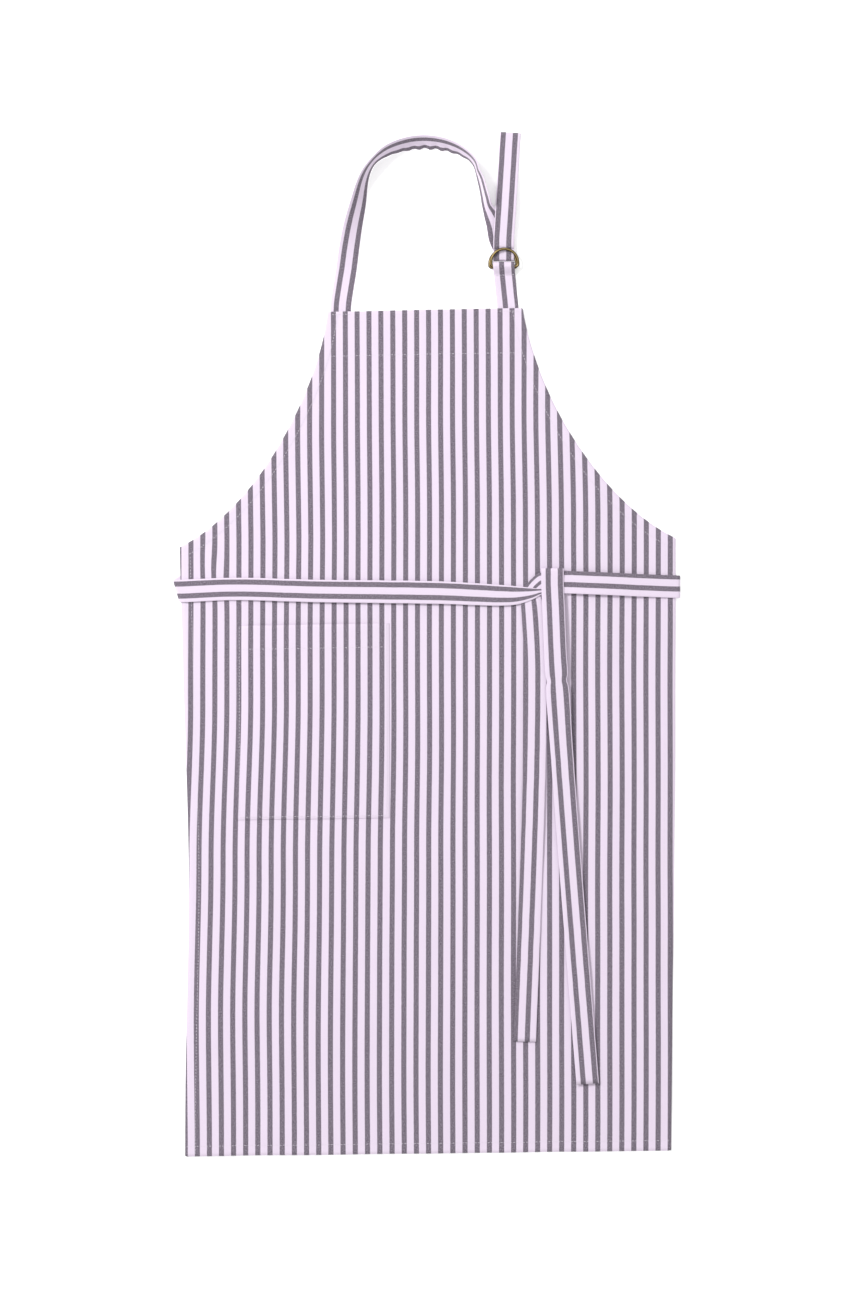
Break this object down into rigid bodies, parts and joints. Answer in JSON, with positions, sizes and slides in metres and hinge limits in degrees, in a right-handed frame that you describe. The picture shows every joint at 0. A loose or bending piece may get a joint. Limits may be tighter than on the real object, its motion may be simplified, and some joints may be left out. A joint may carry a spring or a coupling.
{
  "type": "bib apron",
  "caption": "Striped cotton bib apron laid flat, with a patch pocket, a neck strap through paired D-rings, and waist ties half-knotted in front.",
  "frame": {"origin": "middle of the apron's footprint, on the surface it lies on", "axes": "+Y up the apron from hem to neck, +X to the viewer's right, +Z out of the front of the cloth"},
  "size_m": [0.5224, 1.0548, 0.0216],
  "materials": {
    "striped_cotton": "matte plain-woven cotton, lilac with charcoal-mauve yarn-dyed stripes",
    "sewing_thread": "matte cotton-polyester sewing thread",
    "aged_brass": "antique brass plate, satin"
  },
  "bodies": {
    "apron_body": {"body_panel": "striped_cotton", "pocket": "striped_cotton", "neck_strap_root": "striped_cotton", "ring_tab_root": "striped_cotton", "left_tie_root": "striped_cotton", "left_tie_run": "striped_cotton", "left_tie_turn": "striped_cotton", "right_tie_root": "striped_cotton", "right_tie_run": "striped_cotton", "right_tie_turn": "striped_cotton", "bib_hem_stitching": "sewing_thread", "bottom_hem_stitching": "sewing_thread", "left_side_stitching": "sewing_thread", "right_side_stitching": "sewing_thread", "left_armhole_stitching": "sewing_thread", "right_armhole_stitching": "sewing_thread", "pocket_edge_stitching": "sewing_thread", "pocket_hem_stitching": "sewing_thread", "neck_strap_stitching": "sewing_thread", "ring_tab_root_stitching": "sewing_thread", "left_tie_stitching": "sewing_thread", "right_tie_stitching": "sewing_thread"},
    "neck_loop": {"neck_strap_loop": "striped_cotton", "neck_strap_turn": "striped_cotton", "ring_tab": "striped_cotton", "ring_tab_stitching": "sewing_thread", "lower_d_ring": "aged_brass"},
    "upper_ring": {"upper_d_ring": "aged_brass"},
    "strap_tail": {"neck_strap_tail": "striped_cotton"},
    "left_tie_end": {"left_tie_tail": "striped_cotton"},
    "right_tie_end": {"right_tie_tail": "striped_cotton"}
  },
  "joints": [
    {"name": "neck_loop_fold", "type": "hinge", "parent": "apron_body", "child": "neck_loop", "pos_m": [0.00166, 0.34556, 0.00054], "axis": [1, 0, 0], "range_deg": [0, 135]},
    {"name": "upper_ring_flip", "type": "hinge", "parent": "neck_loop", "child": "upper_ring", "pos_m": [0.08026, 0.38816, 0.00574], "axis": [1, 0, 0], "range_deg": [0, 130]},
    {"name": "strap_tail_swing", "type": "hinge", "parent": "neck_loop", "child": "strap_tail", "pos_m": [0.07976, 0.41506, 0.00474], "axis": [0, 0, -1], "range_deg": [0, 20]},
    {"name": "left_tie_swing", "type": "hinge", "parent": "apron_body", "child": "left_tie_end", "pos_m": [0.13066, 0.03936, 0.00444], "axis": [0, 0, 1], "range_deg": [-10, 10]},
    {"name": "right_tie_swing", "type": "hinge", "parent": "apron_body", "child": "right_tie_end", "pos_m": [0.10566, 0.03256, 0.00334], "axis": [0, 0, 1], "range_deg": [-10, 10]}
  ]
}
